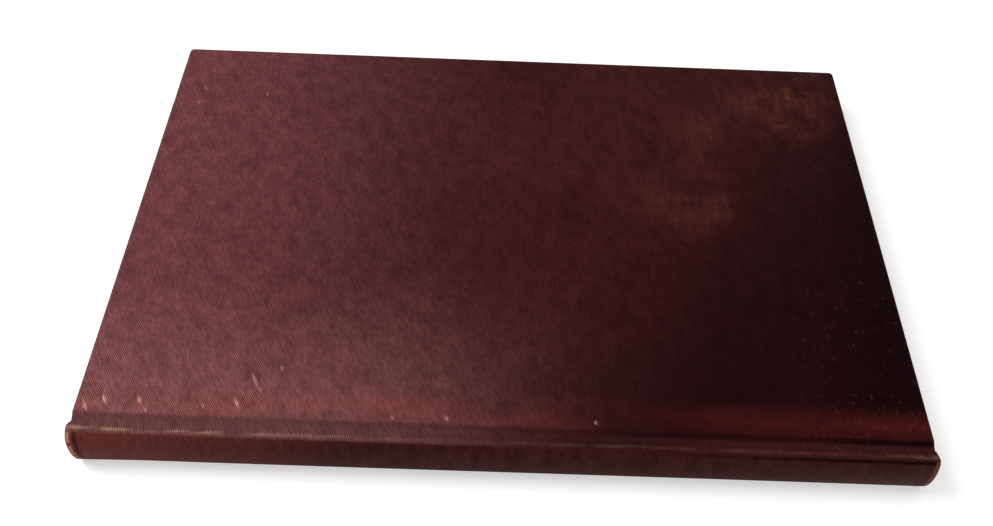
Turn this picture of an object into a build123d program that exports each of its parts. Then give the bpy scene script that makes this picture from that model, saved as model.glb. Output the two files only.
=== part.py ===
from build123d import *
from math import cos, radians, sqrt, tan
import os

# A cloth-cased hardback book, closed and lying on its back cover.
# X runs along the spine with the head at -X, the spine faces -Y, Z is up.
# The origin is under the middle of the closed book, on the plane it lies on.
# Sizes are in millimetres.

# The case
case_height = 222.0        # head to tail, along the spine
board_depth = 142.0        # from the joint to the fore-edge, over the cloth
case_thickness = 14.0      # over both covers
board_thickness = 2.2
cloth_thickness = 0.3
cloth_ease = 0.1           # between the cloth and what it is drawn over at the ridges
turn_in = 15.0             # cloth folded onto the inside of a board
corner_radius = 1.5        # seen from above, at the fore-edge corners
edge_radius = 0.8          # round the edges of a covered board

# The spine and the two joints
spine_reach = 7.4          # crown of the spine behind the boards
crown_rise = 1.5           # how far the crown bulges past the ridges
ridge_radius = 1.5
ridge_inset = 0.1          # the ridges lie this much inside the covers' faces
groove_depth = 1.3         # below the ridge
groove_radius = 0.8
shoulder_reach = 4.1       # tip of the pages' shoulder behind the boards
shoulder_slope = 36.0      # degrees
inlay_thickness = 0.5
inlay_margin = 0.2         # the inlay's edges stop this far inside the ridges' lining of cloth
hollow_back = 0.7          # between the inlay and the lining
spine_turn_in = 12.0
open_clearance = 1.0       # between the crown and the edge of a cover laid right back
joint_clearance = 0.3      # between a cover's path and what stays still

# The pages and what holds them
square = 3.0               # the covers stand this far past the pages
fore_edge_hollow = 1.3
endpaper_thickness = 0.2
leaf_gap = 0.15            # air between a pastedown and its flyleaf
mull_thickness = 0.12
mull_flange_width = 24.0
mull_setback = 12.0        # the mull stops this far short of the pages' head and tail
lining_thickness = 0.2
lining_setback = 3.0
lining_margin = 0.9        # the lining's edges stop this far below the shoulders' tips

# The joint's bending line, halfway from the boards to where their edge lies when laid back
hinge_reach = (spine_reach + open_clearance) / 2

# Heights above the middle plane of the book
cover_thickness = board_thickness + 2 * cloth_thickness + endpaper_thickness
half_thickness = case_thickness / 2
cover_inside = half_thickness - cover_thickness
pages_half = cover_inside - leaf_gap - endpaper_thickness
hinge_height = cover_inside - leaf_gap / 2
ridge_height = half_thickness - ridge_inset
floor_height = ridge_height - groove_depth

# Places in front of (+) or behind (-) the boards' joint edge
fore_edge = board_depth - square
laminate = endpaper_thickness + mull_thickness
wrap = laminate + cloth_ease + cloth_thickness
shoulder_height = ridge_height - wrap
back_depth = cloth_thickness + inlay_thickness + hollow_back + lining_thickness + laminate
page_length = case_height - 2 * square
mull_length = page_length - 2 * mull_setback
inside_wall = case_height - 2 * cloth_thickness
beyond = 20.0              # well past whatever a cut trims

# The joint edge's place, with the book centred over the origin
joint_y = spine_reach - (board_depth + spine_reach) / 2


def bar(section, length):
    """A section in the Y-Z plane, run along the spine, centred on the book's length."""
    run = extrude(Plane.YZ * section, amount=length / 2, both=True)
    return Pos(0, joint_y, half_thickness) * run


def window(low_y, high_y, low_z, high_z):
    """A rectangle of the Y-Z section."""
    middle = ((low_y + high_y) / 2, (low_z + high_z) / 2)
    return Pos(*middle) * Rectangle(high_y - low_y, high_z - low_z)


def block(length, low_y, high_y, low_z, high_z, middle_x=0.0):
    """A plain block, placed by the limits of its Y-Z section and its length."""
    solid = Box(length, high_y - low_y, high_z - low_z)
    place = (middle_x, joint_y + (low_y + high_y) / 2, half_thickness + (low_z + high_z) / 2)
    return Pos(*place) * solid


def corners(section, y, z):
    """The upper and lower corners of a symmetrical section at one place."""
    return [
        corner
        for corner in section.vertices()
        if abs(corner.X - y) < 1e-6 and abs(abs(corner.Y) - z) < 1e-6
    ]


def flipped(shape):
    """The same piece on the other side of the book."""
    return mirror(shape, about=Plane.XY.offset(half_thickness))


def save(name, shape):
    """One file for each piece."""
    shape.label = name
    export_step(shape, f"parts/{name}.step")


# ---- Pages: sewn sections, rounded and backed, so the back bulges, the fore-edge
# ---- is hollow and both shoulders lean out over the joints.
slope = tan(radians(shoulder_slope))
slope_foot = -shoulder_reach + (shoulder_height - pages_half) / slope
page_back = -spine_reach + back_depth

page_outline = [
    Line((slope_foot, pages_half), (fore_edge, pages_half)),
    ThreePointArc(
        (fore_edge, pages_half), (fore_edge - fore_edge_hollow, 0), (fore_edge, -pages_half)
    ),
    Line((fore_edge, -pages_half), (slope_foot, -pages_half)),
    Line((slope_foot, -pages_half), (-shoulder_reach, -shoulder_height)),
    ThreePointArc(
        (-shoulder_reach, -shoulder_height), (page_back, 0), (-shoulder_reach, shoulder_height)
    ),
    Line((-shoulder_reach, shoulder_height), (slope_foot, pages_half)),
]
page_section = make_face(page_outline)
page_block = bar(page_section, page_length)

# ---- Flyleaves: the free halves of the endpapers, lying on the pages and up the shoulders.
papered = offset(page_section, amount=endpaper_thickness)
fly_section = (papered - page_section) & window(
    -shoulder_reach, fore_edge, pages_half, half_thickness
)
front_flyleaf = bar(fly_section, page_length)

# ---- Mull: the gauze set in the glue of the back and lapped over both shoulders.
gauzed = offset(page_section, amount=laminate)
mull_section = (gauzed - page_section - fly_section - mirror(fly_section, about=Plane.XZ)) & window(
    -beyond, slope_foot - laminate, -half_thickness, half_thickness
)
spine_mull = bar(mull_section, mull_length)

# ---- Lining: the strip of paper glued over the mull on the back.
lined = offset(page_section, amount=laminate + lining_thickness)
lining_half = shoulder_height - lining_margin
lining_section = (lined - gauzed) & window(-beyond, -shoulder_reach, -lining_half, lining_half)
spine_lining = bar(lining_section, page_length - 2 * lining_setback)

# ---- Spine: the cloth's outer form from groove to groove.
wrap_rise = shoulder_height + wrap / cos(radians(shoulder_slope))
groove_foot = -shoulder_reach + (wrap_rise - floor_height) / slope
ridge_foot = -shoulder_reach + (wrap_rise - ridge_height) / slope
ridge_back = -spine_reach + crown_rise

spine_outline = [
    Line((beyond, -floor_height), (beyond, floor_height)),
    Line((beyond, floor_height), (groove_foot, floor_height)),
    Line((groove_foot, floor_height), (ridge_foot, ridge_height)),
    Line((ridge_foot, ridge_height), (ridge_back, ridge_height)),
    ThreePointArc((ridge_back, ridge_height), (-spine_reach, 0), (ridge_back, -ridge_height)),
    Line((ridge_back, -ridge_height), (ridge_foot, -ridge_height)),
    Line((ridge_foot, -ridge_height), (groove_foot, -floor_height)),
    Line((groove_foot, -floor_height), (beyond, -floor_height)),
]
spine_form = make_face(spine_outline)
spine_form = fillet(corners(spine_form, ridge_back, ridge_height), ridge_radius)
groove_corners = corners(spine_form, ridge_foot, ridge_height)
groove_corners += corners(spine_form, groove_foot, floor_height)
spine_form = fillet(groove_corners, groove_radius)

turn_in_depth = 2 * cloth_thickness + inlay_thickness
within_cloth = offset(spine_form, amount=-cloth_thickness)
within_inlay = offset(spine_form, amount=-cloth_thickness - inlay_thickness)
within_turn_in = offset(spine_form, amount=-turn_in_depth)
inlay_half = ridge_height - turn_in_depth - inlay_margin
inlay_span = window(-beyond, -shoulder_reach, -inlay_half, inlay_half)

# ---- Inlay: the strip of card that stiffens the spine, held in by the cloth all round.
spine_inlay = bar((within_cloth - within_inlay) & inlay_span, inside_wall)

# ---- Spine cloth: the middle of the covering cloth, from the floor of one groove over both
# ---- ridges to the floor of the other, folded in over the inlay's ends.
floor_radius = hinge_reach - joint_clearance
floor_end = -hinge_reach + sqrt(floor_radius**2 - (floor_height - hinge_height) ** 2)
cloth_span = window(-beyond, floor_end, -half_thickness, half_thickness)
folded_end = (within_cloth - within_turn_in) & inlay_span
folded_in = (within_inlay - within_turn_in) & inlay_span
spine_cloth = bar((spine_form - within_cloth) & cloth_span, case_height)
spine_cloth += bar(folded_end, case_height) - bar(folded_end, inside_wall)
spine_cloth += bar(folded_in, case_height) - bar(folded_in, case_height - 2 * spine_turn_in)

# ---- Boards: stiff millboard, rounded a little at the fore-edge corners.
board_top = half_thickness - cloth_thickness
board_inside = board_top - board_thickness


def rounded_board(solid, corner, edge):
    """A board with its two fore-edge corners rounded, and its edges softened all round."""
    upright = solid.edges().filter_by(Axis.Z).group_by(Axis.Y)[-1]
    solid = fillet(upright, corner)
    faces = solid.faces().sort_by(Axis.Z)
    joint_side = faces[0].edges().filter_by(Axis.X).sort_by(Axis.Y)[0]
    soft = faces[-1].edges() + faces[0].edges().filter_by(lambda e: e != joint_side)
    return fillet(soft, edge)


board_blank = block(
    inside_wall, cloth_thickness, board_depth - cloth_thickness, board_inside, board_top
)
front_board = rounded_board(
    board_blank, corner_radius - cloth_thickness, edge_radius - cloth_thickness
)

# ---- Cover cloth: over the board, round its edges and folded in along three of them.
covered_blank = block(
    case_height, 0, board_depth, board_inside - cloth_thickness, half_thickness
)
inside_bare = block(
    case_height - 2 * turn_in,
    -beyond,
    board_depth - turn_in,
    board_inside - cloth_thickness,
    board_inside,
)
front_cover_cloth = rounded_board(covered_blank, corner_radius, edge_radius)
front_cover_cloth -= front_board
front_cover_cloth -= inside_bare

# ---- Mull flange: the flap of gauze glued to the inside of the board.
front_mull_flange = block(
    mull_length, 0, mull_flange_width, board_inside - mull_thickness, board_inside
)

# ---- Pastedown: the half of the endpaper glued to the board, over the flap of gauze and
# ---- the folded cloth, so it lies in a shallow tray inside the folds.
sheet = block(page_length, 0, fore_edge, cover_inside, board_inside)
tray = block(
    case_height - 2 * (turn_in + endpaper_thickness),
    -beyond,
    board_depth - turn_in - endpaper_thickness,
    cover_inside,
    board_inside - endpaper_thickness,
)
over_flange = block(
    mull_length + 2 * endpaper_thickness,
    0,
    mull_flange_width + endpaper_thickness,
    board_inside - laminate,
    board_inside,
)
front_pastedown = sheet - front_cover_cloth - front_mull_flange - (tray - over_flange)

# ---- Every piece to its file; the back cover is the front cover turned over.
os.makedirs("parts", exist_ok=True)
save("page_block", page_block)
save("spine_mull", spine_mull)
save("spine_lining", spine_lining)
save("spine_inlay", spine_inlay)
save("spine_cloth", spine_cloth)
pairs = {
    "flyleaf": front_flyleaf,
    "board": front_board,
    "cover_cloth": front_cover_cloth,
    "mull_flange": front_mull_flange,
    "pastedown": front_pastedown,
}
for piece, shape in pairs.items():
    save(f"front_{piece}", shape)
    save(f"back_{piece}", flipped(shape))
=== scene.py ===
from math import cos, pi, radians, sin

import bmesh
import bpy
from mathutils import Euler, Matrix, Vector


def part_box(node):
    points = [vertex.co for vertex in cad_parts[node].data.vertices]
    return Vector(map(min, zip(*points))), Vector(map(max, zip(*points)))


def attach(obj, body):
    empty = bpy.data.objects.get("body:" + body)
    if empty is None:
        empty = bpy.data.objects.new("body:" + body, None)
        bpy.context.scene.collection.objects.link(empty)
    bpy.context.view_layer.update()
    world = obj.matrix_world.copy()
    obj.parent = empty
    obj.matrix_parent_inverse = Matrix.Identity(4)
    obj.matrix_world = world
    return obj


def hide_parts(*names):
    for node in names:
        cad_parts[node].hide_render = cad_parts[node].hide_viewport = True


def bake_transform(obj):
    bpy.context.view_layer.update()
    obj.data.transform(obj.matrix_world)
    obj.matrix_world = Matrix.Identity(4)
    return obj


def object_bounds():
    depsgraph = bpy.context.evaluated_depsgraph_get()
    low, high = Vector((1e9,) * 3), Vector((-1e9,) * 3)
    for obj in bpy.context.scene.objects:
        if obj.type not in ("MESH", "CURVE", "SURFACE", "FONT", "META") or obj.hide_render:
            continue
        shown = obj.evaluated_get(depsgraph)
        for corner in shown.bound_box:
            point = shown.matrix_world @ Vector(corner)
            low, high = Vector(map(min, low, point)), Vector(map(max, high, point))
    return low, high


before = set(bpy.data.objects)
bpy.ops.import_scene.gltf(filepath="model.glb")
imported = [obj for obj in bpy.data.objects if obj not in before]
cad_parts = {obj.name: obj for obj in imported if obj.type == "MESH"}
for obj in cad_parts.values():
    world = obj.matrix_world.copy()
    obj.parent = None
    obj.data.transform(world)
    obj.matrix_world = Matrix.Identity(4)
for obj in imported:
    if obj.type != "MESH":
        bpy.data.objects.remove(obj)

cad_low, cad_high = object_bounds()
MM = 0.001

# ---- Covering cloth on the two covers.
# Dark maroon book cloth with a fine diagonal rib, drawn over each board and folded in
# along three edges; on the fourth it runs down into the groove of the joint.
CLOTH = 0.3 * MM
TURN_IN = 15 * MM
CORNER = 1.5 * MM
EDGE = 0.8 * MM
JOINT_EDGE = 0.7 * MM      # the round of the board's edge along the joint
GROOVE_BOTTOM = 2.2 * MM   # behind the boards
GROOVE_DEPTH = 0.95 * MM
GROOVE_START = 0.12 * MM   # how far down the rounded edge the groove begins
RIB_ACROSS = 1.70          # ribs in each millimetre along the spine
RIB_ALONG = 1.20           # and in each millimetre from spine to fore-edge
CROSS_ACROSS = 2.05        # the same for the fainter lines that cross the ribs
CROSS_ALONG = -0.37
CREST = 4.6                # millimetres from the joint edge to the ridge's rubbed line
FACE = 5.3                 # and to the smoother cloth of the spine
# Rubbed patches on the front cover, in millimetres: place, reach, and strength.
PATCHES = ((56, 14, 20, 0.6), (60, 42, 16, 0.45), (90, 60, 26, 0.85), (36, 16, 12, 0.25))
# Scuffs, in millimetres: place along the spine, place in from the board's joint edge,
# half length, and strength. They lean with the rib.
SCUFF_LEAN = 118
SCUFF_HALF_WIDTH = 0.8
SCUFFS = (
    (-108.0, 2.2, 3.2, 0.85),
    (-103.5, 4.2, 3.0, 0.9),
    (-94.5, 4.4, 2.4, 0.75),
    (-92.5, 1.6, 1.8, 0.6),
    (-78.0, 3.4, 1.5, 0.4),
    (-69.5, 4.5, 3.0, 0.8),
    (-66.0, 11.5, 4.2, 0.6),
    (-64.0, 8.5, 1.8, 0.4),
    (-59.5, 15.5, 1.6, 0.4),
    (-29.0, 1.8, 1.2, 0.45),
    (-15.0, 2.2, 1.5, 0.5),
    (23.5, 2.4, 1.2, 0.45),
    (-101.5, 122.0, 1.8, 0.3),
    (-81.0, 120.5, 1.6, 0.35),
    (-102.5, 115.5, 1.3, 0.3),
)

book_high = Vector(cad_high)
half_length = book_high.x
middle_z = book_high.z / 2
joint_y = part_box("front_cover_cloth")[0][1]    # the boards' edge along the joint


class Shade:
    """A node's output, so that shader maths reads as an expression."""

    def __init__(self, made, socket):
        self.made, self.socket = made, socket

    def math(self, operation, *values):
        names = dict(enumerate((self, *values)))
        return self.made.node("ShaderNodeMath", names, operation=operation)

    def __add__(self, other):
        return self.math("ADD", other)

    def __sub__(self, other):
        return self.math("SUBTRACT", other)

    def __rsub__(self, other):
        return self.made.number("SUBTRACT", other, self)

    def __mul__(self, other):
        return self.math("MULTIPLY", other)

    def __truediv__(self, other):
        return self.math("DIVIDE", other)

    __radd__, __rmul__ = __add__, __mul__

    def ramp(self, low, high):
        """0 below low, 1 above high, smooth between them."""
        names = {"Value": self, "From Min": low, "From Max": high}
        return self.made.node("ShaderNodeMapRange", names, interpolation_type="SMOOTHSTEP")


class NodeTree:
    """The nodes of a material or of the world, in the making."""

    def __init__(self, owner):
        owner.use_nodes = True
        self.tree = owner.node_tree
        self.tree.nodes.clear()

    def node(self, kind, values, output=0, **settings):
        """One node: its settings first, then the values or links of its sockets."""
        made = self.tree.nodes.new(kind)
        for key, value in settings.items():
            setattr(made, key, value)
        for key, value in values.items():
            if isinstance(value, Shade):
                self.tree.links.new(value.socket, made.inputs[key])
            else:
                made.inputs[key].default_value = value
        return made if output is None else Shade(self, made.outputs[output])


class Finish(NodeTree):
    """A procedural material, with its place on the piece in millimetres."""

    def __init__(self, name):
        self.material = bpy.data.materials.new(name)
        super().__init__(self.material)
        place = self.node("ShaderNodeTexCoord", {}, output="Object")
        self.mm = self.scaled(place, 1 / MM)
        parts = self.node("ShaderNodeSeparateXYZ", {0: self.mm}, output=None)
        self.x, self.y, self.z = (Shade(self, socket) for socket in parts.outputs)

    def number(self, operation, first, second):
        return self.node("ShaderNodeMath", {0: first, 1: second}, operation=operation)

    def noise(self, scale, detail=3.0, stretch=(1, 1, 1), turn=0.0, on=None):
        """Noise with its grain in millimetres, drawn out along an axis turned about Z."""
        values = {
            0: on or self.mm,
            "Rotation": (0, 0, radians(turn)),
            "Scale": [1 / part for part in stretch],
        }
        mapped = self.node("ShaderNodeMapping", values, vector_type="TEXTURE")
        values = {"Vector": mapped, "Scale": scale, "Detail": detail}
        return self.node("ShaderNodeTexNoise", values, output="Fac")

    def mix(self, factor, first, second):
        """The first colour at 0 and the second at 1."""
        values = {"Factor": factor, 6: first, 7: second}
        return self.node("ShaderNodeMix", values, output=2, data_type="RGBA")

    def scaled(self, shade, factor):
        """A colour or a place multiplied by one factor."""
        return self.node("ShaderNodeVectorMath", {0: shade, "Scale": factor}, operation="SCALE")

    def bump(self, height, distance, strength=1.0):
        values = {"Height": height, "Distance": distance * MM, "Strength": strength}
        return self.node("ShaderNodeBump", values)

    def surface(self, **sockets):
        """Ends the material in a Principled surface."""
        values = {key.replace("_", " "): value for key, value in sockets.items()}
        end = self.node("ShaderNodeBsdfPrincipled", values)
        self.node("ShaderNodeOutputMaterial", {0: end}, output=None)
        return self.material


def colour(red, green, blue):
    """A colour given as it looks, as the shader's linear values."""
    parts = [part / 255 for part in (red, green, blue)]
    linear = [p / 12.92 if p <= 0.04045 else ((p + 0.055) / 1.055) ** 2.4 for p in parts]
    return (*linear, 1.0)


class BookCloth(Finish):
    """Ribbed maroon cloth, with the measures in millimetres that its wear is placed by."""

    def __init__(self, name):
        super().__init__(name)
        self.down = self.y + self.z
        self.unrolled = self.node("ShaderNodeCombineXYZ", {0: self.x, 1: self.down})
        self.blotch = self.noise(0.05, 4.0)
        self.nap = self.noise(1.5, 3.0, (0.3, 1, 1), turn=SCUFF_LEAN, on=self.unrolled)
        self.from_joint = self.y - joint_y / MM
        self.behind = joint_y / MM - self.y
        self.face = self.behind.ramp(FACE - 0.3, FACE + 0.3)
        self.past_end = self.x.math("ABSOLUTE") - half_length / MM
        from_outside = (self.z - middle_z / MM).math("ABSOLUTE") - middle_z / MM
        self.outer = from_outside.ramp(-1.6, -0.9)

    def tone_with_painted_light(self):
        """Random tone, lighter in the head half with painted sheen, darker in the tail half
        with painted shade.
        """
        x, y = self.x, self.y
        broad = self.noise(0.03, 4.0)
        base = self.mix(broad.ramp(0.3, 0.7), colour(53, 19, 21), colour(61, 24, 25))
        # Painted sheen: lighter towards the head, and lighter still towards the joint there.
        base = self.mix((self.blotch * 25 - x).ramp(0, 135), base, colour(106, 58, 61))
        head_sheen = (0.0 - y).ramp(15, 75) * (0.0 - x).ramp(-60, 60)
        base = self.mix(head_sheen * 0.5, base, colour(140, 89, 87))
        # Painted shade: darker towards the tail and the joint, darkest at the tail end.
        tail_shade = (x - y * 0.7 + self.blotch * 30).ramp(20, 120)
        base = self.mix(tail_shade, base, colour(28, 6, 8))
        tail_end_shade = (x - y * 0.2 + self.blotch * 16).ramp(98, 122)
        base = self.mix(tail_end_shade * 0.85, base, colour(13, 2, 4))
        mottled = self.noise(0.25, 5.0, (0.6, 1, 1), turn=SCUFF_LEAN, on=self.unrolled)
        return self.scaled(base, (mottled - 0.5) * 1.2 + 1.0)

    def reddened(self, base):
        """Worn redder along the boards' joint edge."""
        near_joint = 1.0 - (self.from_joint - 4.0).math("ABSOLUTE") / 7.0
        patchy = self.noise(0.07, 4.0, (0.4, 1, 1)).ramp(0.35, 0.7)
        worn = patchy * 0.42 + self.x.ramp(25, 70) * 0.3
        red = self.mix(self.x.ramp(-20, 40), colour(138, 62, 56), colour(92, 28, 25))
        return self.mix(near_joint.ramp(0, 1) * worn, base, red)

    def dusty(self, base):
        """Greyer and dustier in the groove at the head, browned in it at the tail."""
        dust = (self.behind + 1.2).ramp(0, 1.6) * (0.0 - self.x).ramp(-50, 50)
        base = self.mix(dust * 0.42, base, colour(58, 33, 38))
        browned = (self.behind - 0.3).ramp(0, 1.2) * self.x.ramp(0, 60)
        return self.mix(browned * 0.75, base, colour(60, 27, 27))

    def smoothed_with_painted_light(self, base):
        """Smooth and streaked behind the ridges, on the spine, with painted sheen towards the
        head and a painted reflection of the floor low down towards the tail.
        """
        streak = self.noise(0.4, 4.0, (1, 0.25, 1), on=self.unrolled)
        worn = self.mix(streak.ramp(0.3, 0.7), colour(46, 18, 16), colour(62, 28, 25))
        # Painted sheen: lighter towards the head.
        worn = self.mix((self.blotch * 30 - self.x).ramp(45, 130), worn, colour(98, 46, 41))
        # Painted reflection of the pale floor: lighter and greyer low on the spine, towards the
        # tail.
        worn = self.mix((self.x - self.z * 6).ramp(20, 100) * 0.5, worn, colour(78, 56, 52))
        return self.mix(self.face, base, worn)

    def patched(self, base):
        """Rubbed in patches along the threads, near the fore-edge at the tail."""
        warp, weft = (
            self.noise(0.5, 4.0, stretch).ramp(0.45, 0.7)
            for stretch in ((1, 0.2, 1), (0.2, 1, 1))
        )
        threads = warp * 0.45 + weft * 0.35 + 0.35
        rubbed = self.noise(0.08, 5.0).ramp(0.3, 0.7) * threads
        for patch_x, patch_y, reach, strength in PATCHES:
            off_x, off_y = (self.x - patch_x) / reach, (self.y - patch_y) / reach
            inside = (1.0 - off_x * off_x - off_y * off_y).ramp(0, 1)
            base = self.mix(inside * rubbed * strength, base, colour(98, 50, 38))
        return base

    def scuffed(self, base):
        """Short scuffs that follow the rib, mostly near the joint at the head."""
        lean_x, lean_y = cos(radians(SCUFF_LEAN)), sin(radians(SCUFF_LEAN))
        ragged = (self.nap - 0.5) * 0.8
        for scuff_x, scuff_y, length, strength in SCUFFS:
            off_x, off_y = self.x - scuff_x, self.from_joint - scuff_y
            lengthwise = (off_x * lean_x + off_y * lean_y).math("ABSOLUTE") / length
            sideways = (off_x * lean_y - off_y * lean_x + ragged).math("ABSOLUTE")
            mask = (1.0 - lengthwise - sideways / SCUFF_HALF_WIDTH).ramp(0, 0.8)
            base = self.mix(mask * strength, base, colour(190, 134, 126))
        return base

    def nicked(self, base):
        """Rubbed through at the edges of the boards and speckled at the tail."""
        boards = 1.0 - self.face
        at_end = self.past_end.ramp(-1.1, -0.2)
        at_fore = self.y.ramp(book_high.y / MM - 0.8, book_high.y / MM)
        nicks = self.noise(0.4, 4.0).ramp(0.56, 0.66) * (0.0 - self.x).ramp(-150, 100)
        edges = at_end.math("MAXIMUM", at_fore) * nicks * boards
        base = self.mix(edges * 0.7, base, colour(150, 92, 84))
        at_tail = self.x.ramp(60, 110) * (0.0 - self.y).ramp(-60, 60)
        speckle = self.nap.ramp(0.63, 0.72) * at_tail * boards
        return self.mix(speckle * 0.35, base, colour(120, 66, 66))

    def frayed(self, base):
        """Frayed pale along the two ridges, most at the head."""
        crest = 1.0 - (self.behind - CREST + self.nap).math("ABSOLUTE") / 0.9
        threads = self.noise(0.35, 5.0, (0.35, 1, 1)).ramp(0.38, 0.62)
        fading = (0.0 - self.x).ramp(10, 116) * 0.8 + self.x.ramp(103, 109) * 0.6 + 0.1
        pale = crest.ramp(0, 0.9) * self.outer * threads * fading
        return self.mix(pale, base, colour(164, 124, 104))

    def painted_crease_shadow(self, base):
        """Painted shadow in the deep creases on both sides of the ridge, towards the tail."""
        opening = self.x.ramp(-40, 10) * 0.3 + self.x.ramp(78, 100) * 0.7
        above = (1.0 - (self.behind - 0.3).math("ABSOLUTE") / 0.9).ramp(0, 0.8)
        under = (1.0 - (self.behind - FACE - 0.4).math("ABSOLUTE") / 0.5).ramp(0, 0.8)
        under = under * self.x.ramp(20, 95) * self.outer
        shadow_lines = (above * opening).math("MAXIMUM", under)
        # Near black: painted shadow in the groove by the board's edge and under the ridge.
        return self.mix(shadow_lines * 0.9, base, colour(7, 1, 2))

    def rimmed(self, base):
        """Pale at the folded ends of the spine, rubbed and with a painted highlight, with
        painted shade in the crease beside them.
        """
        head = (0.0 - self.x).ramp(0, 50) * 0.7 + 0.25
        # Painted shade in the crease just inside each end.
        crease = (1.0 - (self.past_end + 2.3).math("ABSOLUTE") / 0.9).ramp(0, 1) * self.face
        base = self.mix(crease * head * 0.85, base, colour(30, 8, 8))
        # Rubbed pale rim, with a painted highlight on top of the wear.
        rim = self.past_end.ramp(-1.4, -0.7) * self.noise(0.6, 3.0).ramp(0.3, 0.5)
        return self.mix(rim * self.face * head, base, colour(168, 116, 96))

    def lines(self, across, upward, shift):
        """Fine parallel lines in the weave, from 0 to 1."""
        turn = (self.x * across + self.down * upward + shift) * (2 * pi)
        return turn.math("SINE") * 0.5 + 0.5

    def woven(self, base):
        """Ends the material: each rib gets a painted highlight and the gap beside it painted
        shade.
        """
        drift = self.noise(0.15, 2.0) * 0.8
        rib = self.lines(RIB_ACROSS, RIB_ALONG, drift)
        cross = self.lines(CROSS_ACROSS, CROSS_ALONG, drift)
        slub = self.noise(1.1, 3.0, (1, 0.15, 1), on=self.unrolled)
        weave = rib * 0.7 + cross * 0.3 - 0.5
        depth = 1.0 - self.face * (0.0 - self.x).ramp(-60, 20) * 0.6
        # Painted highlight on each rib and painted shade in the gap beside it, with the cloth's
        # own tone from the nap and slub.
        rib_shade_and_tone = weave * depth * 1.35 + (self.nap - 0.5) * 1.3 + (slub - 0.5) * 0.4 + 0.97
        return self.surface(
            Base_Color=self.scaled(base, rib_shade_and_tone.math("MAXIMUM", 0.15)),
            Roughness=0.6 + weave * 0.1,
            Normal=self.bump(weave * depth + self.nap * 0.3, 0.06, 0.6),
            Specular_IOR_Level=0.07,
            Specular_Tint=colour(255, 160, 160),
            Sheen_Weight=0.02,
            Sheen_Roughness=0.4,
            Sheen_Tint=colour(220, 130, 130),
        )


def cloth_with_wear_and_painted_light(name):
    """The cloth with its wear and its painted light and shade laid on, in the order in which
    they came.
    """
    cloth = BookCloth(name)
    base = cloth.smoothed_with_painted_light(cloth.dusty(cloth.reddened(cloth.tone_with_painted_light())))
    base = cloth.nicked(cloth.scuffed(cloth.patched(base)))
    base = cloth.rimmed(cloth.painted_crease_shadow(cloth.frayed(base)))
    return cloth.woven(base)


def open_up(piece):
    """Opens one piece in edit mode with nothing selected."""
    bpy.ops.object.select_all(action="DESELECT")
    bpy.context.view_layer.objects.active = piece
    piece.select_set(True)
    bpy.ops.object.mode_set(mode="EDIT")
    bpy.ops.mesh.select_all(action="DESELECT")


def pick(kind, test):
    """Selects the edges or faces of the open piece whose middles pass a test."""
    bpy.ops.mesh.select_mode(type=kind)
    bpy.ops.mesh.select_all(action="DESELECT")
    mesh = bmesh.from_edit_mesh(bpy.context.edit_object.data)
    for part in mesh.faces if kind == "FACE" else mesh.edges:
        spots = [corner.co for corner in part.verts]
        middle = sum(spots, Vector()) / len(spots)
        if test(middle, part):
            part.select_set(True)
    mesh.select_flush_mode()
    bmesh.update_edit_mesh(bpy.context.edit_object.data)


def cut(place, normal):
    """Divides the whole open piece along a plane."""
    bpy.ops.mesh.select_all(action="SELECT")
    bpy.ops.mesh.bisect(plane_co=place, plane_no=normal, threshold=1e-7)


def along(edge, axis):
    """True if an edge runs along an axis."""
    way = edge.verts[1].co - edge.verts[0].co
    return abs(way[axis]) > 0.9 * way.length


def close_up(piece, angle=40):
    """Leaves edit mode and puts the piece's place in its mesh."""
    bpy.ops.mesh.select_all(action="SELECT")
    bpy.ops.mesh.remove_doubles(threshold=1e-6)
    bpy.ops.mesh.normals_make_consistent(inside=False)
    bpy.ops.object.mode_set(mode="OBJECT")
    bpy.ops.object.transform_apply(location=True, rotation=True, scale=True)
    bpy.ops.object.shade_smooth_by_angle(angle=radians(angle))
    return piece


def near(value, target, slack=0.05 * MM):
    """True if two places are alike."""
    return abs(value - target) < slack


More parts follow.
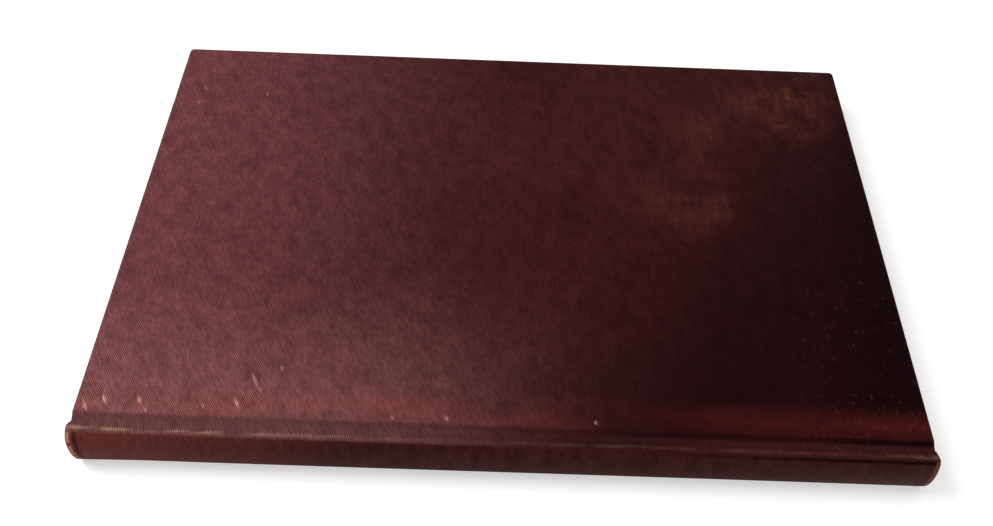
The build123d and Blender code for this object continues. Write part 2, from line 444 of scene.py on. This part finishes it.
def cover_cloth(name, node, outer):
    """Cloth over one board; outer is 1 for the front cover and -1 for the back."""
    low, high = (Vector(corner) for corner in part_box(node))
    bpy.ops.object.select_all(action="DESELECT")
    bpy.ops.mesh.primitive_cube_add(size=1, location=(low + high) / 2, scale=high - low)
    piece = bpy.context.object
    piece.name = name
    bpy.ops.object.transform_apply(location=True, rotation=True, scale=True)
    open_up(piece)
    face_z, inner_z = (high.z, low.z) if outer > 0 else (low.z, high.z)
    pick("EDGE", lambda at, edge: along(edge, 2) and near(at.y, high.y))
    bpy.ops.mesh.bevel(offset=CORNER, segments=5, affect="EDGES")
    pick("EDGE", lambda at, edge: near(at.z, face_z) and not near(at.y, low.y))
    bpy.ops.mesh.bevel(offset=EDGE, segments=4, affect="EDGES")
    pick("EDGE", lambda at, edge: near(at.z, inner_z) and not near(at.y, low.y))
    bpy.ops.mesh.bevel(offset=EDGE, segments=4, affect="EDGES")
    pick("EDGE", lambda at, edge: abs(at.z - face_z) < EDGE and near(at.y, low.y))
    bpy.ops.mesh.bevel(offset=JOINT_EDGE, segments=8, affect="EDGES")
    cut((0, low.y + 2 * JOINT_EDGE, 0), (0, 1, 0))
    for side in (-1, 1):
        cut((side * (half_length - TURN_IN), 0, 0), (1, 0, 0))
    cut((0, high.y - TURN_IN, 0), (0, 1, 0))
    cut((0, low.y + CLOTH, 0), (0, 1, 0))

    def bare(at, face):
        inside = abs(at.x) < half_length - TURN_IN and low.y + CLOTH < at.y < high.y - TURN_IN
        return near(at.z, inner_z) and inside

    pick("FACE", bare)
    bpy.ops.mesh.extrude_region_move(TRANSFORM_OT_translate={"value": (0, 0, outer * CLOTH)})
    # The strip that runs down off the rounded edge into the groove, in an easy curve.
    top = face_z - outer * GROOVE_START
    under = top - outer * CLOTH
    cut((0, 0, top), (0, 0, 1))
    cut((0, 0, under), (0, 0, 1))

    def strip(at, face):
        between = min(top, under) < at.z < max(top, under)
        return between and at.y < low.y + JOINT_EDGE and face.normal.y < -0.2

    pick("FACE", strip)
    steps = 8
    fall = GROOVE_DEPTH - GROOVE_START
    for step in range(steps):
        drop = fall * (sin((step + 1) / steps * pi / 2) - sin(step / steps * pi / 2))
        shift = (0, -GROOVE_BOTTOM / steps, -outer * drop)
        bpy.ops.mesh.extrude_region_move(TRANSFORM_OT_translate={"value": shift})
    return close_up(piece)


cloth_finish = cloth_with_wear_and_painted_light("maroon_book_cloth")
for side, outer in (("front", 1), ("back", -1)):
    covered = cover_cloth(f"{side}_cloth", f"{side}_cover_cloth", outer)
    covered.data.materials.append(cloth_finish)
    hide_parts(f"{side}_cover_cloth")
    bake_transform(covered)

# ---- Covering cloth on the spine.
# The middle of the same cloth, over both ridges and the rounded card inlay. The head end
# stands a little proud, where it has been pulled.
SPINE_WALL = 1.0 * MM
RIDGE_SHARE = 0.3          # how much of that wall the cloth over the ridges has
LENGTHWISE = 120
PULL_START = 0.86          # the share of its half length at which the head end is pulled
PULL_OUT = 0.35            # millimetres that it is pulled out and up
PULL_RIDGE = 0.8           # and that its ridge is drawn in towards the boards
BOW = 0.12                 # millimetres of wave along the spine
# Half of the section, in millimetres from the joint edge and from mid-thickness.
ridge_points = (
    (-1.9, 6.1),
    (-2.7, 6.15),
    (-3.8, 6.75),
    (-4.7, 7.1),
    (-5.6, 6.85),
    (-6.3, 5.9),
    (-7.0, 3.8),
    (-7.45, 1.3),
)
profile = list(ridge_points) + [(y, -z) for y, z in reversed(ridge_points)]
bpy.ops.object.select_all(action="DESELECT")
bpy.ops.mesh.primitive_grid_add(
    x_subdivisions=LENGTHWISE, y_subdivisions=len(profile) - 1, size=2
)
spine = bpy.context.object
spine.name = "spine_cloth_outer"
thick = spine.vertex_groups.new(name="wall")
for corner in spine.data.vertices:
    along_spine, row = corner.co.x, round((corner.co.y + 1) / 2 * (len(profile) - 1))
    y, z = profile[row]
    pulled = max(0.0, -along_spine - PULL_START) / (1 - PULL_START)
    y -= PULL_OUT * pulled * (y < -6) - BOW * sin(along_spine * 2.2)
    y += PULL_RIDGE * pulled * (z > 6) * (-6 < y < -3)
    z += PULL_OUT * pulled * (z > 6)
    corner.co = (along_spine * half_length, joint_y + y * MM, middle_z + z * MM)
    thick.add([corner.index], 1.0 if y < -5 else RIDGE_SHARE, "REPLACE")
open_up(spine)
bpy.ops.mesh.select_all(action="SELECT")
bpy.ops.mesh.flip_normals()
bpy.ops.object.mode_set(mode="OBJECT")
for kind, settings in (
    ("SUBSURF", {"levels": 2, "render_levels": 2}),
    ("SOLIDIFY", {"thickness": SPINE_WALL, "offset": -1, "vertex_group": "wall"}),
):
    added = spine.modifiers.new(kind.lower(), kind)
    for key, value in settings.items():
        setattr(added, key, value)
    bpy.ops.object.modifier_apply(modifier=added.name)
bpy.ops.object.shade_smooth_by_angle(angle=radians(40))
spine.data.materials.append(cloth_finish)
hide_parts("spine_cloth")
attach(spine, "text_block")

# ---- Endpapers.
# Plain cream paper: each sheet is pasted to its board, folded in the joint and left free
# over the pages. The fold is a narrow strip, cut into steps between the two sheets.
def paper(name, shade, leaf=0.0):
    """Plain or leaf-edged paper."""
    sheet = Finish(name)
    fibre = sheet.noise(0.9, 4.0)
    age = sheet.noise(0.03, 3.0)
    base = sheet.mix(age.ramp(0.3, 0.8) * 0.25, colour(*shade), colour(200, 178, 140))
    height = fibre
    if leaf:
        waver = sheet.noise(0.06, 3.0) * 1.2
        line = (sheet.z / leaf + waver).math("MULTIPLY", 2 * pi).math("SINE")
        loose = sheet.noise(2.5, 3.0, (0.05, 0.05, 3.0))
        base = sheet.mix(line.ramp(0.2, 1.0) * 0.35, base, colour(150, 126, 92))
        base = sheet.mix(loose.ramp(0.5, 0.75) * 0.4, base, colour(168, 142, 104))
        height = line * 0.5 + loose
    return sheet.surface(
        Base_Color=base, Roughness=0.8, Normal=sheet.bump(height, 0.06, 0.6)
    )


endpaper = paper("cream_endpaper", (226, 213, 184))
LEAF_GAP = 0.15 * MM       # between a flyleaf and its pastedown
FOLD_PAPER = 0.06 * MM
FOLD_INSET = 0.2 * MM      # from the joint edge to the fold
FOLD_STEPS = 24
for side, outer in (("front", 1), ("back", -1)):
    low, high = (Vector(corner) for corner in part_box(f"{side}_flyleaf"))
    pasted = [Vector(corner).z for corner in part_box(f"{side}_pastedown")]
    paste_z = pasted[0] if outer > 0 else pasted[1]
    fly_z = paste_z - outer * LEAF_GAP
    bpy.ops.object.select_all(action="DESELECT")
    bpy.ops.mesh.primitive_cube_add(
        size=1,
        location=(0, joint_y + FOLD_INSET, (paste_z + fly_z) / 2),
        scale=(high.x - low.x, FOLD_PAPER, LEAF_GAP),
    )
    fold = bpy.context.object
    fold.name = f"{side}_endpaper_fold"
    bpy.ops.object.transform_apply(location=True, rotation=True, scale=True)
    open_up(fold)
    for step in range(1, FOLD_STEPS):
        cut((0, 0, fly_z + (paste_z - fly_z) * step / FOLD_STEPS), (0, 0, 1))
    close_up(fold)
    fold.data.materials.append(endpaper)
    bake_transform(fold)
    for part in ("flyleaf", "pastedown"):
        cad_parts[f"{side}_{part}"].data.materials.clear()
        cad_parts[f"{side}_{part}"].data.materials.append(endpaper)

# ---- Pages.
# Sewn sections of book paper, rounded and backed, then trimmed at head, tail and
# fore-edge. The edges have browned with age.
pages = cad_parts["page_block"]
pages.data.materials.clear()
pages.data.materials.append(paper("trimmed_pages", (214, 196, 158), leaf=0.36))

# ---- Boards, inlay, gauze and lining.
# Grey-brown millboard and card, open gauze set in glue, and a strip of brown paper: all
# hidden but for what shows at the head and tail of the spine.
def plain(name, shade, second, grain):
    """A fibrous surface in two close colours."""
    stuff = Finish(name)
    fleck = stuff.noise(grain, 4.0)
    base = stuff.mix(fleck.ramp(0.35, 0.7), colour(*shade), colour(*second))
    return stuff.surface(Base_Color=base, Roughness=0.9, Normal=stuff.bump(fleck, 0.05, 0.5))


hidden = (
    (plain("millboard", (150, 132, 104), (128, 112, 88), 1.2), ("board", "spine_inlay")),
    (plain("glued_gauze", (196, 178, 140), (164, 140, 98), 3.0), ("mull",)),
    (plain("brown_paper", (160, 128, 90), (140, 110, 76), 1.5), ("lining",)),
)
for finish, words in hidden:
    for name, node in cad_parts.items():
        if any(word in name for word in words):
            node.data.materials.clear()
            node.data.materials.append(finish)

# ---- Floor, light and camera.
# The book lies on a pale floor that goes off into white, under a soft lamp from the head
# and a weaker one from the spine side, and is seen from above the spine.
bpy.ops.object.select_all(action="DESELECT")
bpy.ops.mesh.primitive_plane_add(size=8, location=(0, 0, 0))
floor = bpy.context.object
floor.name = "floor"
pale = bpy.data.materials.new("pale_floor")
ground = NodeTree(pale)
seen = ground.node("ShaderNodeLightPath", {}, output="Is Camera Ray")
lift = ground.node("ShaderNodeEmission", {0: (1, 1, 1, 1), 1: 0.35})
matt = ground.node("ShaderNodeBsdfDiffuse", {0: (0.85, 0.85, 0.85, 1)})
both = ground.node("ShaderNodeAddShader", {0: lift, 1: matt})
shown = ground.node("ShaderNodeMixShader", {0: seen, 1: matt, 2: both})
ground.node("ShaderNodeOutputMaterial", {0: shown}, output=None)
floor.data.materials.append(pale)

world = bpy.data.worlds.new("studio")
bpy.context.scene.world = world
sky = NodeTree(world)
seen = sky.node("ShaderNodeLightPath", {}, output="Is Camera Ray")
ambient = sky.node("ShaderNodeBackground", {0: (1, 1, 1, 1), 1: 0.5})
backdrop = sky.node("ShaderNodeBackground", {0: (1, 1, 1, 1), 1: 1.0})
chosen = sky.node("ShaderNodeMixShader", {0: seen, 1: ambient, 2: backdrop})
sky.node("ShaderNodeOutputWorld", {0: chosen}, output=None)


def lamp(name, place, aim, size, power):
    """A square soft lamp at a place, turned to what it lights."""
    light = bpy.data.lights.new(name, "AREA")
    light.shape, light.size, light.energy = "SQUARE", size, power
    made = bpy.data.objects.new(name, light)
    made.location = place
    made.rotation_euler = (Vector(aim) - Vector(place)).to_track_quat("-Z", "Y").to_euler()
    bpy.context.scene.collection.objects.link(made)


lamp("window_lamp", (-0.62, 0.12, 0.85), (-0.05, 0, 0), 0.5, 6)
lamp("fill_lamp", (0.3, -0.8, 1.0), (0, 0, 0), 0.8, 2.5)

eye = bpy.data.cameras.new("eye")
eye.lens, eye.sensor_width = 35.2, 36
camera = bpy.data.objects.new("camera", eye)
camera.location = (-5.5 * MM, joint_y - 118.6 * MM, book_high.z + 222.8 * MM)
camera.rotation_euler = Euler((radians(37.61), radians(-1.6), radians(1.37)))
bpy.context.scene.collection.objects.link(camera)
bpy.context.scene.camera = camera
bpy.context.scene.view_settings.view_transform = "Standard"
